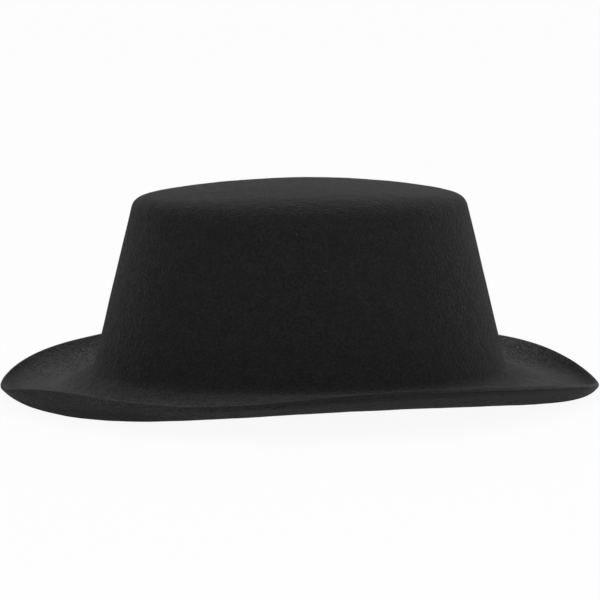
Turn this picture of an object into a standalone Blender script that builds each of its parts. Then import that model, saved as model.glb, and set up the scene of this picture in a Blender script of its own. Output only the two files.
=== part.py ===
"""Low-crowned felt top hat: a seamless felt body, a satin lining and a reeded leather sweatband.

Runs with blender --background --python part.py, or from Blender's text editor. Sizes are in metres, +Z is up
and +X is towards the front of the hat, which stands on the ends of its brim on the plane z = 0.
"""

import math

import bmesh
import bpy
from mathutils import Matrix

# Crown, on the outside of the felt. The corners are where the straight lines would meet.
CROWN_BASE_LENGTH = 0.2080
CROWN_BASE_WIDTH = 0.1720
CROWN_TIP_LENGTH = 0.1656
CROWN_TIP_WIDTH = 0.1296
CROWN_HEIGHT = 0.0871
TIP_DOME = 0.0063
# Rise of the tip's corner over its height at the two ends
TIP_LIFT_FRONT_QUARTER = 0.0016
TIP_LIFT_SIDE = 0.0027
TIP_LIFT_BACK_QUARTER = 0.0004
# Reach of the tip's rounded corner along the tip, which is softer at the sides, and down the side
TIP_ROUNDING_ENDS = 0.0072
TIP_ROUNDING_SIDES = 0.0310
SIDE_ROUNDING_ENDS = 0.0050
SIDE_ROUNDING_SIDES = 0.0160
COVE = 0.0040

# Felt
FELT = 0.0025
FELT_EDGE_ROUNDING = 0.0011
REST_FLAT = 0.0004

# Brim, from the crown's base corner to its upper edge
BRIM_END_WIDTH = 0.0446
BRIM_SIDE_WIDTH = 0.0490
# Where the brim leaves the crown, over the crown's base, at five places from front to back
JOIN_FRONT = -0.0010
JOIN_FRONT_QUARTER = 0.0005
JOIN_SIDE = 0.0023
JOIN_BACK_QUARTER = 0.0016
JOIN_BACK = 0.0011
# How far the brim dips below the crown's base, at seven places from front to back
DIP_ENDS = 0.0100
DIP_FRONT_SIXTH = 0.0074
DIP_FRONT_THIRD = 0.0019
DIP_SIDE = 0.0
DIP_BACK_THIRD = 0.0047
DIP_BACK_SIXTH = 0.0098
# How high the brim's edge stands over the crown's base, at the same places
EDGE_FRONT = -0.0062
EDGE_FRONT_SIXTH = 0.0010
EDGE_FRONT_THIRD = 0.0063
EDGE_SIDE = 0.0096
EDGE_BACK_THIRD = 0.0043
EDGE_BACK_SIXTH = 0.0020
EDGE_BACK = -0.0042
# How far it stands over that on the wearer's right and under it on the left, at the five places in between
LEAN_FRONT_SIXTH = -0.0003
LEAN_FRONT_THIRD = 0.0027
LEAN_SIDE = 0.0
LEAN_BACK_THIRD = -0.0006
LEAN_BACK_SIXTH = 0.0019
# Share of the brim's width where its edge begins to curl up, and how suddenly it curls, at the same seven places
CURL_SHARE_FRONT = 0.88
CURL_SHARE_FRONT_SIXTH = 0.62
CURL_SHARE_FRONT_THIRD = 0.42
CURL_SHARE_SIDE = 0.45
CURL_SHARE_BACK_THIRD = 0.48
CURL_SHARE_BACK_SIXTH = 0.55
CURL_SHARE_BACK = 0.66
CURL_POWER_FRONT = 4.0
CURL_POWER_FRONT_SIXTH = 2.5
CURL_POWER_FRONT_THIRD = 2.0
CURL_POWER_SIDE = 2.0
CURL_POWER_BACK_THIRD = 2.0
CURL_POWER_BACK_SIXTH = 2.2
CURL_POWER_BACK = 2.8
# How softly the brim leaves the crown
FALL_POWER = 1.4

# Inside the crown
CLEARANCE = 0.0004
LINING = 0.0006
LINING_TUCK = 0.0180
LINING_SEAM_DROP = 0.0070
LINING_TIP_SAG = 0.0010
LINING_TIP_FLATNESS = 8
LEATHER = 0.0012
SWEATBAND_LIFT = 0.0045
SWEATBAND_HEIGHT = 0.0340
SWEATBAND_JOIN = 0.0012
REED_DIAMETER = 0.0016
REED_TAPE = 0.0004
REED_TAPE_HEIGHT = 0.0070
THREAD_DIAMETER = 0.0006
STITCH_LENGTH = 0.0060
STITCH_WIDTH = 0.0024
STITCH_LIFT = 0.0028
BOW_WIDTH = 0.0220
BOW_HEIGHT = 0.0080
BOW_WAIST = 0.0040
BOW_NOTCH = 0.0008
BOW_TAIL_LENGTH = 0.0080
BOW_TAIL_WIDTH = 0.0034
BOW_TAIL_SPREAD = 0.0080
BOW_TAIL_SLANT = 0.0008
BOW_THICKNESS = 0.0016
BOW_KNOT_WIDTH = 0.0046
BOW_KNOT_HEIGHT = 0.0048
BOW_KNOT_ROUNDING = 0.0004
BOW_LIFT = 0.0170
LABEL_WIDTH = 0.0240
LABEL_HEIGHT = 0.0130
LABEL_THICKNESS = 0.0005
LABEL_LIFT = 0.0120
LABEL_ANGLE = math.radians(90.0)

# Facets
AROUND = 64
AROUND_INSIDE = 64
TIP_RINGS = 5
ROUNDING_RINGS = 5
SIDE_RINGS = 4
COVE_RINGS = 4
BRIM_RINGS = 10
EDGE_SEGMENTS = 2
LINING_TIP_RINGS = 6
REED_SIDES = 6
WAVE_POINTS = 4
LABEL_STEPS = 6
SHARP_ANGLE = math.radians(40.0)
EDGE_ANGLE = math.radians(60.0)

BACK = math.pi
BRIM_DIPS = DIP_ENDS, DIP_FRONT_SIXTH, DIP_FRONT_THIRD, DIP_SIDE, DIP_BACK_THIRD, DIP_BACK_SIXTH, DIP_ENDS
BRIM_EDGES = (
    EDGE_FRONT,
    EDGE_FRONT_SIXTH,
    EDGE_FRONT_THIRD,
    EDGE_SIDE,
    EDGE_BACK_THIRD,
    EDGE_BACK_SIXTH,
    EDGE_BACK,
)
EDGE_LEANS = LEAN_FRONT_SIXTH, LEAN_FRONT_THIRD, LEAN_SIDE, LEAN_BACK_THIRD, LEAN_BACK_SIXTH
CURL_SHARES = (
    CURL_SHARE_FRONT,
    CURL_SHARE_FRONT_SIXTH,
    CURL_SHARE_FRONT_THIRD,
    CURL_SHARE_SIDE,
    CURL_SHARE_BACK_THIRD,
    CURL_SHARE_BACK_SIXTH,
    CURL_SHARE_BACK,
)
CURL_POWERS = (
    CURL_POWER_FRONT,
    CURL_POWER_FRONT_SIXTH,
    CURL_POWER_FRONT_THIRD,
    CURL_POWER_SIDE,
    CURL_POWER_BACK_THIRD,
    CURL_POWER_BACK_SIXTH,
    CURL_POWER_BACK,
)
SIDE_LEAN = math.atan2(CROWN_BASE_LENGTH - CROWN_TIP_LENGTH, 2.0 * CROWN_HEIGHT)
# The crown's base stands this high when the lowest felt, under both ends of the brim, is on the plane z = 0.
BASE_Z = DIP_ENDS + FELT - REST_FLAT
LINING_DEPTH = FELT + CLEARANCE
SWEATBAND_DEPTH = LINING_DEPTH + LINING + CLEARANCE
SWEATBAND_FACE = SWEATBAND_DEPTH + LEATHER
SWEATBAND_TOP = SWEATBAND_LIFT + SWEATBAND_HEIGHT
# The lining's two pieces meet on the straight of the crown's side, below the rounding of its tip.
LINING_SEAM = CROWN_HEIGHT - SIDE_ROUNDING_ENDS - LINING_SEAM_DROP


def material(name, color, roughness, sheen=0.0):
    """A Principled material of one colour."""
    made = bpy.data.materials.new(name)
    made.use_nodes = True
    shader = made.node_tree.nodes["Principled BSDF"]
    shader.inputs["Base Color"].default_value = (*color, 1.0)
    shader.inputs["Roughness"].default_value = roughness
    shader.inputs["Metallic"].default_value = 0.0
    shader.inputs["Sheen Weight"].default_value = sheen
    made.diffuse_color = (*color, 1.0)
    return made


def add_object(name, build, surface, closed=True):
    """Put a finished bmesh in the scene as one object. An open skin keeps the way its faces look."""
    if closed:
        bmesh.ops.recalc_face_normals(build, faces=build.faces)
    mesh = bpy.data.meshes.new(name)
    build.to_mesh(mesh)
    build.free()
    mesh.shade_smooth()
    mesh.set_sharp_from_angle(angle=SHARP_ANGLE)
    mesh.materials.append(surface)
    made = bpy.data.objects.new(name, mesh)
    bpy.context.scene.collection.objects.link(made)
    return made


def mix(low, high, share):
    return low + (high - low) * share


def bend(start, corner, end, share):
    """A point of the curve that leaves start towards corner and arrives at end from it."""
    first = mix(start[0], corner[0], share), mix(start[1], corner[1], share)
    second = mix(corner[0], end[0], share), mix(corner[1], end[1], share)
    return mix(first[0], second[0], share), mix(first[1], second[1], share)


def blend_around(angle, stations):
    """A smooth value round the hat through even stations from front to back, alike on both sides."""
    last = len(stations) - 1
    total = 0.0
    for wave in range(last + 1):
        amount = 0.0
        for place, value in enumerate(stations):
            share = 0.5 if place in (0, last) else 1.0
            amount += share * value * math.cos(math.pi * wave * place / last)
        share = 0.5 if wave in (0, last) else 1.0
        total += share * amount * 2.0 / last * math.cos(wave * angle)
    return total


def lean_around(angle, stations):
    """A smooth value round the hat, nothing at its front and back and turned over from one side to the other."""
    parts = len(stations) + 1
    total = 0.0
    for wave in range(1, parts):
        swing = 0.0
        for place, value in enumerate(stations, 1):
            swing += value * math.sin(math.pi * wave * place / parts)
        total += swing * 2.0 / parts * math.sin(wave * angle)
    return total


def crown_join(angle):
    """Where the brim leaves the crown, over the crown's base."""
    return blend_around(angle, (JOIN_FRONT, JOIN_FRONT_QUARTER, JOIN_SIDE, JOIN_BACK_QUARTER, JOIN_BACK))


def brim_height(angle, across):
    """The brim's upper face over the crown's base, across of the way from the crown to the edge."""
    dip = blend_around(angle, BRIM_DIPS)
    edge = blend_around(angle, BRIM_EDGES) - lean_around(angle, EDGE_LEANS)
    start = blend_around(angle, CURL_SHARES)
    fall = math.sin(0.5 * math.pi * min(across / start, 1.0)) ** FALL_POWER
    curl = max(0.0, (across - start) / (1.0 - start)) ** blend_around(angle, CURL_POWERS)
    return mix(crown_join(angle), -dip, fall) + (edge + dip) * curl


def crown_spread(height):
    """How far the crown's outside stands in at a height over its base, at the ends and at the sides."""
    share = height / CROWN_HEIGHT
    at_end = share * (CROWN_BASE_LENGTH - CROWN_TIP_LENGTH) / 2.0
    at_side = share * (CROWN_BASE_WIDTH - CROWN_TIP_WIDTH) / 2.0
    return at_end, at_side


def oval_point(angle, half_length, half_width, height):
    """A point of a level oval, height over the crown's base."""
    return half_length * math.cos(angle), half_width * math.sin(angle), BASE_Z + height


def crown_point(angle, height, depth):
    """A point depth inside the felt's outer face, on the crown's side."""
    at_end, at_side = crown_spread(height)
    inset = depth / math.cos(SIDE_LEAN)
    half_length = CROWN_BASE_LENGTH / 2.0 - at_end - inset
    half_width = CROWN_BASE_WIDTH / 2.0 - at_side - inset
    return oval_point(angle, half_length, half_width, height)


def tip_fall(angle):
    """How far the domed tip falls from its centre to its corner at an angle."""
    return TIP_DOME - blend_around(angle, (0.0, TIP_LIFT_FRONT_QUARTER, TIP_LIFT_SIDE, TIP_LIFT_BACK_QUARTER, 0.0))


def tip_height(angle, share):
    """The domed tip's upper face over the crown's base, share of the way from its centre to its corner."""
    return CROWN_HEIGHT + TIP_DOME - tip_fall(angle) * share**2


def felt_meridian(angle):
    """The felt's outer face at an angle, as points from the tip's first ring to the brim's edge."""
    points = []
    half_tip = CROWN_TIP_LENGTH / 2.0
    rounding = blend_around(angle, (TIP_ROUNDING_ENDS, TIP_ROUNDING_SIDES, TIP_ROUNDING_ENDS))
    flat = half_tip - rounding
    for ring in range(1, TIP_RINGS + 1):
        share = flat / half_tip * ring / TIP_RINGS
        points.append((half_tip * share, CROWN_TIP_WIDTH / 2.0 * share, tip_height(angle, share)))

    top = flat, tip_height(angle, flat / half_tip)
    slope = 2.0 * tip_fall(angle) * flat / half_tip**2
    lean = math.tan(SIDE_LEAN)
    reach = (rounding + lean * (CROWN_HEIGHT - top[1])) / (1.0 - lean * slope)
    corner = flat + reach, top[1] - slope * reach
    side_rounding = blend_around(angle, (SIDE_ROUNDING_ENDS, SIDE_ROUNDING_SIDES, SIDE_ROUNDING_ENDS))
    side_drop = side_rounding * math.cos(SIDE_LEAN)
    side_top = corner[0] + side_drop * lean, corner[1] - side_drop
    oval = (CROWN_TIP_LENGTH - CROWN_TIP_WIDTH) / 2.0
    flat_width = flat * CROWN_TIP_WIDTH / CROWN_TIP_LENGTH
    for ring in range(1, ROUNDING_RINGS + 1):
        share = ring / ROUNDING_RINGS
        half_length, height = bend(top, corner, side_top, share)
        narrowed = mix(flat - flat_width, oval, share)
        points.append((half_length, half_length - narrowed, height))

    join = crown_join(angle)
    for ring in range(1, SIDE_RINGS + 1):
        height = mix(side_top[1], join + COVE, ring / SIDE_RINGS)
        at_end, at_side = crown_spread(height)
        points.append((CROWN_BASE_LENGTH / 2.0 - at_end, CROWN_BASE_WIDTH / 2.0 - at_side, height))

    at_end, at_side = crown_spread(join)
    join_length = CROWN_BASE_LENGTH / 2.0 - at_end
    join_width = CROWN_BASE_WIDTH / 2.0 - at_side
    end_width = BRIM_END_WIDTH + at_end
    side_width = BRIM_SIDE_WIDTH + at_side
    cove_share = COVE / end_width
    above = -lean * COVE, join + COVE
    below = COVE, brim_height(angle, cove_share)
    for ring in range(1, COVE_RINGS + 1):
        out, height = bend(above, (0.0, join), below, ring / COVE_RINGS)
        widened = side_width / end_width if out > 0.0 else 1.0
        points.append((join_length + out, join_width + out * widened, height))

    for ring in range(1, BRIM_RINGS + 1):
        across = mix(cove_share, 1.0, ring / BRIM_RINGS)
        half_length = join_length + across * end_width
        points.append((half_length, join_width + across * side_width, brim_height(angle, across)))
    return [oval_point(angle, *point) for point in points]


def add_felt_body(surface):
    """Crown and brim in one piece: the outer face, thickened inwards, with a raw edge and two rest flats."""
    build = bmesh.new()
    centre = build.verts.new((0.0, 0.0, BASE_Z + tip_height(0.0, 0.0)))
    lines = []
    for step in range(AROUND):
        meridian = felt_meridian(2.0 * math.pi * step / AROUND)
        lines.append([build.verts.new(point) for point in meridian])
    for step, line in enumerate(lines):
        after = lines[(step + 1) % AROUND]
        build.faces.new((centre, line[0], after[0]))
        for ring in range(len(line) - 1):
            build.faces.new((line[ring], line[ring + 1], after[ring + 1], after[ring]))
    felt = add_object("felt_body", build, surface, closed=False)

    thicken = felt.modifiers.new("felt_thickness", "SOLIDIFY")
    thicken.thickness = FELT
    thicken.offset = -1.0
    thicken.use_even_offset = True
    soften = felt.modifiers.new("raw_edge", "BEVEL")
    soften.width = FELT_EDGE_ROUNDING
    soften.segments = EDGE_SEGMENTS
    soften.limit_method = "ANGLE"
    soften.angle_limit = EDGE_ANGLE
    press = felt.modifiers.new("rest_flats", "BOOLEAN")
    press.operation = "DIFFERENCE"
    press.object = add_table_cutter()
    return felt


def add_table_cutter():
    """A slab under the plane z = 0, which presses the felt flat where the hat stands on it."""
    build = bmesh.new()
    length = CROWN_BASE_LENGTH + 4.0 * BRIM_END_WIDTH
    depth = 2.0 * DIP_ENDS
    slab = Matrix.Translation((0.0, 0.0, -depth / 2.0)) @ Matrix.Diagonal((length, length, depth, 1.0))
    bmesh.ops.create_cube(build, size=1.0, matrix=slab)
    mesh = bpy.data.meshes.new("table_cutter")
    build.to_mesh(mesh)
    build.free()
    cutter = bpy.data.objects.new("table_cutter", mesh)
    cutter.hide_render = True
    cutter.display_type = "WIRE"
    bpy.context.scene.collection.objects.link(cutter)
    return cutter


def sweep_section(section, first, last, steps):
    """A section of (height, depth) points carried round the crown's side from one angle to another."""
    build = bmesh.new()
    whole = math.isclose(last - first, 2.0 * math.pi)
    loops = []
    for step in range(steps if whole else steps + 1):
        angle = mix(first, last, step / steps)
        loops.append([build.verts.new(crown_point(angle, *point)) for point in section])
    count = len(section)
    for step in range(steps):
        loop = loops[step]
        after = loops[(step + 1) % len(loops)]
        for place in range(count):
            beside = (place + 1) % count
            build.faces.new((loop[place], loop[beside], after[beside], after[place]))
    if not whole:
        build.faces.new(loops[0])
        build.faces.new(reversed(loops[-1]))
    return build


def band_section(low, high, outer, thickness):
    """A plain strip's section between two heights."""
    inner = outer + thickness
    return (low, outer), (high, outer), (high, inner), (low, inner)


def band_angles():
    """Where the sweatband starts and ends, either side of its join at the back."""
    half_join = SWEATBAND_JOIN / CROWN_BASE_WIDTH
    return half_join - BACK, BACK - half_join


def add_sweatband(surface):
    """The leather strip round the head opening."""
    section = band_section(SWEATBAND_LIFT, SWEATBAND_TOP, SWEATBAND_DEPTH, LEATHER)
    return add_object("sweatband", sweep_section(section, *band_angles(), AROUND_INSIDE), surface)


def reed_centre():
    """The reed's height and depth: under the middle of the leather's lower edge."""
    gap = CLEARANCE + REED_DIAMETER / 2.0
    return SWEATBAND_LIFT - gap, SWEATBAND_DEPTH + LEATHER / 2.0


def add_reed(surface):
    """The round reed along the sweatband's lower edge."""
    height, depth = reed_centre()
    section = []
    for side in range(REED_SIDES):
        turn = 2.0 * math.pi * side / REED_SIDES
        radius = REED_DIAMETER / 2.0
        section.append((height + radius * math.sin(turn), depth + radius * math.cos(turn)))
    return add_object("sweatband_reed", sweep_section(section, *band_angles(), AROUND_INSIDE), surface)


def add_reed_tape(surface):
    """The tape folded under the reed: a tall leg behind the leather and a short one in front of the reed."""
    height, depth = reed_centre()
    half = REED_DIAMETER / 2.0 + CLEARANCE
    behind = SWEATBAND_DEPTH - CLEARANCE
    front = depth + half
    floor = height - half
    lip = SWEATBAND_LIFT - CLEARANCE
    top = SWEATBAND_LIFT + REED_TAPE_HEIGHT
    section = (
        (top, behind),
        (floor, min(behind, depth - half)),
        (floor, front),
        (lip, front),
        (lip, front + REED_TAPE),
        (floor - REED_TAPE, front + REED_TAPE),
        (floor - REED_TAPE, min(behind, depth - half) - REED_TAPE),
        (top, behind - REED_TAPE),
    )
    return add_object("reed_tape", sweep_section(section, *band_angles(), AROUND_INSIDE), surface)


def add_thread(surface):
    """One zigzag of stitches on the leather's face, near its lower edge."""
    depth = SWEATBAND_FACE + CLEARANCE + THREAD_DIAMETER / 2.0
    height = SWEATBAND_LIFT + STITCH_LIFT
    first, last = band_angles()
    waves = round(math.pi * (CROWN_BASE_LENGTH + CROWN_BASE_WIDTH) / 2.0 / STITCH_LENGTH)
    count = waves * WAVE_POINTS
    curve = bpy.data.curves.new("sweatband_thread", "CURVE")
    curve.dimensions = "3D"
    curve.bevel_depth = THREAD_DIAMETER / 2.0
    curve.bevel_resolution = 0
    curve.use_fill_caps = True
    line = curve.splines.new("POLY")
    line.points.add(count)
    for place, point in enumerate(line.points):
        swing = STITCH_WIDTH / 2.0 * math.sin(2.0 * math.pi * place / WAVE_POINTS)
        angle = mix(first, last, place / count)
        point.co = (*crown_point(angle, height + swing, depth), 1.0)
    curve.materials.append(surface)
    made = bpy.data.objects.new("sweatband_thread", curve)
    bpy.context.scene.collection.objects.link(made)
    return made


def add_label(surface):
    """The bare cloth tab on the sweatband's face."""
    low = SWEATBAND_LIFT + LABEL_LIFT
    section = band_section(low, low + LABEL_HEIGHT, SWEATBAND_FACE + CLEARANCE, LABEL_THICKNESS)
    half = LABEL_WIDTH / CROWN_BASE_LENGTH
    build = sweep_section(section, LABEL_ANGLE - half, LABEL_ANGLE + half, LABEL_STEPS)
    return add_object("size_label", build, surface)


def bow_outline():
    """The bow's outline on one side of its knot, in the plane of the leather: across and up."""
    half = BOW_WIDTH / 2.0
    waist = BOW_WAIST / 2.0
    tail = waist + BOW_TAIL_LENGTH
    return (
        (0.0, waist),
        (half, BOW_HEIGHT / 2.0),
        (half - BOW_NOTCH, 0.0),
        (half, -BOW_HEIGHT / 2.0),
        (BOW_TAIL_WIDTH, -waist),
        (BOW_TAIL_SPREAD, -tail),
        (BOW_TAIL_SPREAD - BOW_TAIL_WIDTH, BOW_TAIL_SLANT - tail),
        (0.0, -waist),
    )


def lay_on_leather(build):
    """Carry a bmesh's (across, up, out) points onto the sweatband's face, round the bow's centre."""
    height = SWEATBAND_LIFT + BOW_LIFT
    radius = crown_point(BACK / 2.0, height, SWEATBAND_FACE)[1]
    for vert in build.verts:
        across, up, out = vert.co
        vert.co = crown_point(BACK - across / radius, height + up, SWEATBAND_FACE + CLEARANCE + out)


def add_bow(surface):
    """The ribbon bow over the sweatband's join: loops and tails in one outline, with the knot on it."""
    right = bow_outline()
    left = [(-across, up) for across, up in reversed(right[1:-1])]
    build = bmesh.new()
    build.faces.new([build.verts.new((across, up, 0.0)) for across, up in (*right, *left)])
    ribbon = bmesh.ops.extrude_face_region(build, geom=build.faces[:])
    raised = [item for item in ribbon["geom"] if isinstance(item, bmesh.types.BMVert)]
    bmesh.ops.translate(build, verts=raised, vec=(0.0, 0.0, BOW_THICKNESS))
    bmesh.ops.triangulate(build, faces=build.faces[:])
    lay_on_leather(build)
    bow = add_object("sweatband_bow", build, surface)

    build = bmesh.new()
    knot_size = BOW_KNOT_WIDTH, BOW_KNOT_HEIGHT, BOW_THICKNESS
    knot_place = Matrix.Translation((0.0, 0.0, BOW_THICKNESS)) @ Matrix.Diagonal((*knot_size, 1.0))
    bmesh.ops.create_cube(build, size=1.0, matrix=knot_place)
    bmesh.ops.bevel(build, geom=build.edges[:], offset=BOW_KNOT_ROUNDING, segments=1, affect="EDGES")
    lay_on_leather(build)
    knot = add_object("bow_knot", build, surface)
    knot.hide_render = True
    knot.display_type = "WIRE"
    tie = bow.modifiers.new("knot", "BOOLEAN")
    tie.operation = "UNION"
    tie.object = knot
    return bow


def add_lining_side(surface):
    """The satin round the inside of the crown, from behind the sweatband to the seam under the tip."""
    section = band_section(SWEATBAND_TOP - LINING_TUCK, LINING_SEAM, LINING_DEPTH, LINING)
    return add_object("lining_side", sweep_section(section, -BACK, BACK, AROUND_INSIDE), surface)


def add_lining_tip(surface):
    """The satin oval that hangs just under the tip and comes down to the seam at its rim."""
    seam = LINING_SEAM + CLEARANCE
    at_end, at_side = crown_spread(seam)
    inset = (LINING_DEPTH + LINING) / math.cos(SIDE_LEAN)
    half_length = CROWN_BASE_LENGTH / 2.0 - at_end - inset
    half_width = CROWN_BASE_WIDTH / 2.0 - at_side - inset
    oversize = half_length / (CROWN_TIP_LENGTH / 2.0)
    rim = tip_height(0.0, oversize) - FELT - LINING_TIP_SAG
    rim_drop = rim - seam - LINING
    build = bmesh.new()
    centre = build.verts.new((0.0, 0.0, BASE_Z + tip_height(0.0, 0.0) - FELT - LINING_TIP_SAG))
    loops = []
    for ring in range(1, LINING_TIP_RINGS + 1):
        share = math.sin(0.5 * math.pi * ring / LINING_TIP_RINGS)
        height = tip_height(0.0, oversize * share) - FELT - LINING_TIP_SAG
        height -= rim_drop * share**LINING_TIP_FLATNESS
        loop = []
        for step in range(AROUND_INSIDE):
            angle = 2.0 * math.pi * step / AROUND_INSIDE
            loop.append(build.verts.new(oval_point(angle, half_length * share, half_width * share, height)))
        loops.append(loop)
    for step in range(AROUND_INSIDE):
        beside = (step + 1) % AROUND_INSIDE
        build.faces.new((centre, loops[0][step], loops[0][beside]))
        for inner, outer in zip(loops, loops[1:]):
            build.faces.new((inner[step], outer[step], outer[beside], inner[beside]))
    made = add_object("lining_tip", build, surface, closed=False)
    thicken = made.modifiers.new("satin_thickness", "SOLIDIFY")
    thicken.thickness = LINING
    thicken.offset = -1.0
    return made


def main():
    for item in list(bpy.data.objects):
        bpy.data.objects.remove(item, do_unlink=True)
    add_felt_body(material("black_felt", (0.012, 0.012, 0.013), 0.95, sheen=0.35))
    add_lining_side(material("side_satin", (0.014, 0.014, 0.016), 0.35))
    add_lining_tip(material("tip_satin", (0.014, 0.014, 0.016), 0.35))
    add_sweatband(material("black_leather", (0.018, 0.016, 0.015), 0.5))
    add_reed(material("reed_plastic", (0.35, 0.33, 0.28), 0.5))
    add_reed_tape(material("reed_tape_cloth", (0.02, 0.02, 0.02), 0.85))
    add_thread(material("black_thread", (0.03, 0.03, 0.03), 0.7))
    add_bow(material("bow_ribbon", (0.016, 0.016, 0.018), 0.4))
    add_label(material("label_cloth", (0.6, 0.59, 0.56), 0.8))


main()
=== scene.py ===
"""Low-crowned felt top hat: its pieces in their finishes, on a plain stage.

Laid out as a Blender add-on and run as a script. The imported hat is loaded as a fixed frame, one operator
makes each piece or group of like pieces around it, and the last one sets the stage. Sizes are in metres, +Z
is up, +X is towards the front of the hat and +Y towards the wearer's left.
"""

import math

import bpy
from bpy.props import FloatProperty, FloatVectorProperty, IntProperty, PointerProperty
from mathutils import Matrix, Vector, noise


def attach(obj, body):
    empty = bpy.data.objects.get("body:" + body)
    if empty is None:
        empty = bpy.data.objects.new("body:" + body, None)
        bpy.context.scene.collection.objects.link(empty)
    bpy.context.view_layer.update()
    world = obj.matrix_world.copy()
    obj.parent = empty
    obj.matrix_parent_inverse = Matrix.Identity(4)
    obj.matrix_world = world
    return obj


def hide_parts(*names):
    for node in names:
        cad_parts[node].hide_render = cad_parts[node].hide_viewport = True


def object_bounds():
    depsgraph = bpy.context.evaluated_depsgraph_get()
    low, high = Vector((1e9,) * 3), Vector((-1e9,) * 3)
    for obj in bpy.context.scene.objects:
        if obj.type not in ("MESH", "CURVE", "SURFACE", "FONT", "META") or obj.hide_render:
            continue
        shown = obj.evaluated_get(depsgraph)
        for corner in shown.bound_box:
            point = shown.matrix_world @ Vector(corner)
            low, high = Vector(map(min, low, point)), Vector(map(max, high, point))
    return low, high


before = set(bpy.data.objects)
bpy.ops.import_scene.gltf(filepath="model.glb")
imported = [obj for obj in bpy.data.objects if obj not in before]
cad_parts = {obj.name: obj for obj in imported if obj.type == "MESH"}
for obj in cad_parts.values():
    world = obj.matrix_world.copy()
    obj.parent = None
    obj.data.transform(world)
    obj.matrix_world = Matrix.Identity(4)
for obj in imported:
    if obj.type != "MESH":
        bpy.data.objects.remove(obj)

bl_info = {
    "name": "Felt top hat",
    "version": (1, 0, 0),
    "blender": (4, 5, 0),
    "location": "3D View > Sidebar > Top hat",
    "description": "Makes a low-crowned felt top hat, piece by piece, around its packed solids",
    "category": "Add Mesh",
}

CAD_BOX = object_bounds()
BODY = "root"
BACK = math.pi

# Columns and rows of the meshes
FELT_COLUMNS = 96
TIP_ROWS = 10
ROUNDING_ROWS = 7
SIDE_ROWS = 12
COVE_ROWS = 6
BRIM_ROWS = 18
EDGE_SEGMENTS = 3
LINING_COLUMNS = 360
LINING_ROWS = 24
LEATHER_COLUMNS = 240
LEATHER_ROWS = 68
TAPE_ROWS = 16
BOW_COLUMNS = 24
BOW_ROWS = 8
LABEL_COLUMNS = 24
LABEL_ROWS = 12
MERGE_REACH = 0.000001
SMOOTH_ANGLE = math.radians(50.0)
EDGE_ANGLE = math.radians(60.0)

# Where the felt's finish, with the brim's paler nap and its painted light, changes across the brim, from 0
# at the crown's base to 1 at the edge
PRESSED_RISE = 0.88, 1.0
NAP_AND_PAINTED_LIGHT_RISE = 0.02, 0.5
RIM_FADE = 0.75, 1.0
SPILL_RISE = 0.85, 1.0
# Where the nap and its painted light from above change as the felt turns up, and from the wearer's right to
# the left in metres
TURNED_UP = -0.1, 0.2
LEFTWARDS = -0.02, 0.02
RIGHT_RIM_SHARE = 0.45
# How the felt's grain, fibre and clouds add up in its tone and relief, and what pressing leaves of that
GRAIN_SHARE = 0.6
FIBRE_SHARE = 0.4
CLOUD_SHADE = 0.75
CLOUD_RELIEF = 0.5
PRESSED_RELIEF = 0.3

# The tape's flat width and how far the leather wavers, in metres
TAPE_WIDTH = 0.0135
LEATHER_WAVER = 0.0002
# Shares of the tape's width behind the leather and round the reed, and of the label that is turned in
TAPE_BEHIND = 0.5
TAPE_FOLD = 0.4
LABEL_FOLD = 0.12, 0.10
LABEL_RISE = 0.6
# Where the lining opens out over the leather, and gathers and drops towards the seam at the tip
LINING_OPENING = 0.25
SEAM_GATHER = 0.6, 0.95
SEAM_POWER = 8
# Forms of the leather's edge, the stitches and the bow, as shares of their own sizes
LEATHER_ROUNDING = 0.3
STITCH_OFFSET = 0.2
STITCH_FLATNESS = 0.4
STITCH_HUMP = 0.5
LOOP_OPENING = 0.0, 0.8
LOOP_GATHER = 0.15
TAIL_OPENING = 0.0, 0.5
TAIL_WAVE = 0.3
KNOT_PINCH = 0.12
KNOT_RISE = 0.6

# A wave texture of scale 1 repeats every tenth of pi metres.
WAVE_SCALE = math.pi / 10.0
WEAVE_PITCH = 0.0005
# Ranges of a share, and of most of a noise texture's values
WHOLE = 0.0, 1.0
NOISE_RANGE = 0.3, 0.7

# The stage, in metres apart from the camera's sensor
SENSOR_MILLIMETRES = 36.0
FLOOR_SIZE = 40.0
FLOOR_WHITE = 0.9, 0.9, 0.9, 1.0
SKY_WHITE = 1.0, 1.0, 1.0, 1.0
SIDE_LAMP_PLACE = 1.6, -0.1, 0.45
SIDE_LAMP_SIZE = 0.9
FRONT_LAMP_PLACE = 0.0, -1.6, 0.7
FRONT_LAMP_SIZE = 1.0


def length(name, description, default):
    """A size in metres that a user may change."""
    return FloatProperty(name=name, description=description, default=default, precision=4, unit="LENGTH")


def amount(name, description, default):
    """A plain number that a user may change."""
    return FloatProperty(name=name, description=description, default=default)


def turn(name, description, degrees):
    """An angle that a user may change."""
    return FloatProperty(name=name, description=description, default=math.radians(degrees), unit="ROTATION")


def colour(name, description, default):
    """A colour that a user may change."""
    return FloatVectorProperty(
        name=name, description=description, default=default, size=3, min=0.0, max=1.0, subtype="COLOR"
    )


def heights(name, description, *default):
    """Heights at even places round the hat, from its front to its back, that a user may change."""
    return FloatVectorProperty(
        name=name, description=description, default=default, size=len(default), precision=4, unit="LENGTH"
    )


def shares(name, description, *default):
    """Plain numbers at even places round the hat, from its front to its back, that a user may change."""
    return FloatVectorProperty(name=name, description=description, default=default, size=len(default))


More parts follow.
